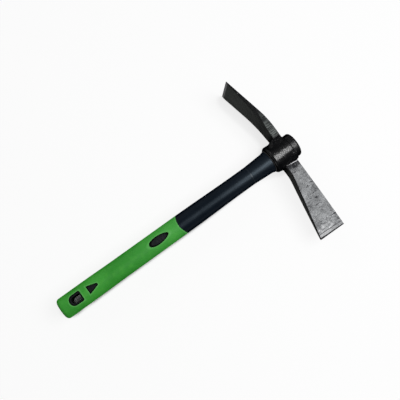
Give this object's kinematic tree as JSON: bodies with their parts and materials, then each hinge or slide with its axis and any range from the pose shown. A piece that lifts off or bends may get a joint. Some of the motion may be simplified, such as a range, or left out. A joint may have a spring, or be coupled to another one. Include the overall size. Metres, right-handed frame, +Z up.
{
  "type": "mattock",
  "caption": "Short-handled cutter mattock: forged head with a flared adze and an axe blade on a round eye, bonded to a rod handle with a dark jacket and a soft green grip.",
  "frame": {"origin": "centre of the bottom of the bounding box: the floor under the middle of the tool as it lies on its side", "axes": "+X along the handle from the butt to the head, +Y towards the adze edge, +Z up"},
  "size_m": [0.4, 0.2574, 0.0638],
  "materials": {
    "head_steel": "black paint on the forged eye, ground bare steel on the axe faces",
    "rod_fibreglass": "pultruded glass fibre, straight grain",
    "jacket_plastic": "satin moulded plastic",
    "grip_rubber": "matt soft-touch moulding",
    "resin": "cast epoxy",
    "seal_rubber": "matt black"
  },
  "bodies": {
    "root": {"mattock_head": "head_steel", "core_rod": "rod_fibreglass", "handle_jacket": "jacket_plastic", "grip_sleeve": "grip_rubber", "epoxy_fill": "resin", "seal_ring": "seal_rubber"}
  },
  "joints": []
}
